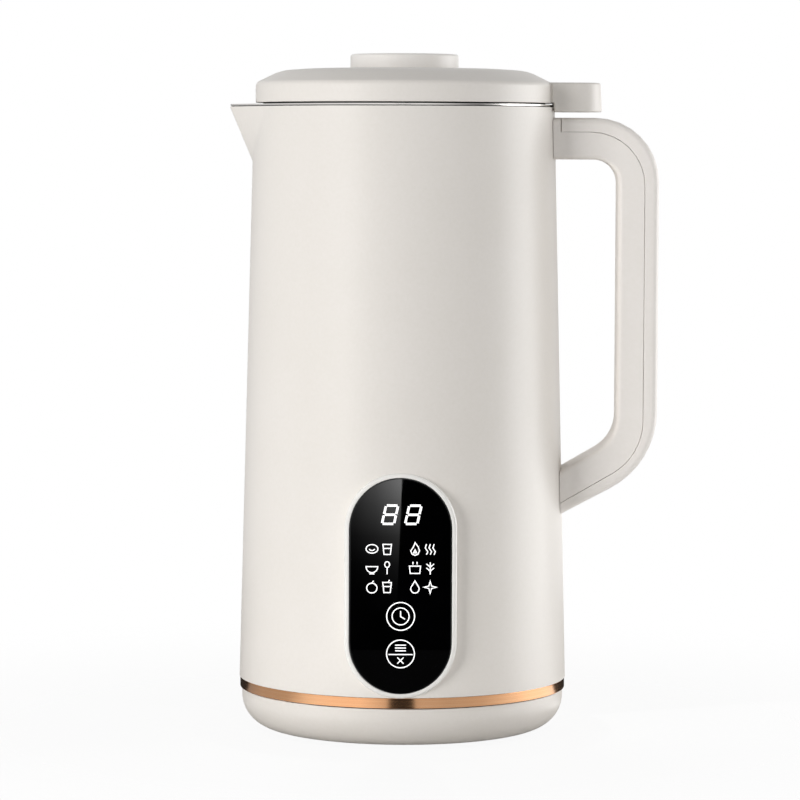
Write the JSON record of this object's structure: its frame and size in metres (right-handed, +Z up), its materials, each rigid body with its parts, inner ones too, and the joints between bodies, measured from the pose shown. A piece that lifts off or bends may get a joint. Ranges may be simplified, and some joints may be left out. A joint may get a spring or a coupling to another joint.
{
  "type": "soy milk maker",
  "caption": "Countertop soy milk maker: heated steel cup with blades in its floor, a spouted tapered body, D-shaped handle, touch panel and lift-off lid.",
  "frame": {"origin": "on the body's axis, at the plane that it stands on", "axes": "+Z up, +X towards the handle, -X towards the spout, -Y is the front with the touch panel"},
  "size_m": [0.1722, 0.1328, 0.2725],
  "materials": {
    "cream_plastic": "soft gloss cream",
    "trim": "soft gloss ivory",
    "glass": "black, back-printed",
    "rose_gold": "polished rose gold",
    "steel": "brushed",
    "shaft_steel": "ground",
    "silicone": "matt grey",
    "liner_plastic": "fine matt",
    "black_plastic": "fine matt",
    "lamination": "oiled sheet edges",
    "copper": "lacquered",
    "aluminium": "as cast",
    "board": "lacquered board"
  },
  "bodies": {
    "base_unit": {"outer_shell": "cream_plastic", "inner_cup": "steel", "decorative_band": "rose_gold", "base_shell": "cream_plastic", "foot_ring": "silicone", "base_screws": "shaft_steel", "panel_bezel": "trim", "panel_lens": "glass", "display_module": "black_plastic", "light_guide": "liner_plastic", "touch_pads": "board", "control_board": "board", "handle_grip": "cream_plastic", "handle_cover": "cream_plastic", "handle_screws": "shaft_steel", "reed_sensor": "board", "power_inlet": "black_plastic", "inlet_pins": "copper", "heating_plate": "aluminium", "heater_tube": "aluminium", "thermal_cutout": "aluminium", "temperature_probe": "steel", "overflow_probe": "steel", "blade_seat": "steel", "seat_gasket": "silicone", "seat_nut": "shaft_steel", "shaft_seal": "silicone", "motor_carrier": "black_plastic", "carrier_screws": "shaft_steel", "motor_dampers": "silicone", "motor_bolts": "shaft_steel", "motor_nuts": "shaft_steel", "upper_bracket": "aluminium", "lower_bracket": "aluminium", "motor_bearings": "shaft_steel", "stator_core": "lamination", "field_coils": "copper", "brush_holders": "black_plastic", "carbon_brushes": "copper", "power_board": "board"},
    "rotor": {"motor_shaft": "shaft_steel", "armature_core": "lamination", "armature_winding": "copper", "commutator": "black_plastic", "cooling_fan": "black_plastic", "blade_spacers": "steel", "lower_blade": "steel", "upper_blade": "steel", "blade_nut": "steel"},
    "lid": {"lid_cover": "cream_plastic", "lid_liner": "liner_plastic", "lid_seal": "silicone", "lid_magnet": "shaft_steel", "magnet_cover": "liner_plastic"},
    "cap": {"feed_cap": "cream_plastic", "cap_seal": "silicone"}
  },
  "joints": [
    {"name": "lid_lift", "type": "slide", "parent": "base_unit", "child": "lid", "axis": [0, 0, 1], "range_m": [0, 0.12]},
    {"name": "cap_lift", "type": "slide", "parent": "lid", "child": "cap", "axis": [0, 0, 1], "range_m": [0, 0.04]},
    {"name": "rotor_spin", "type": "hinge", "parent": "base_unit", "child": "rotor", "pos_m": [0, 0, 0.06], "axis": [0, 0, 1], "continuous": true}
  ]
}
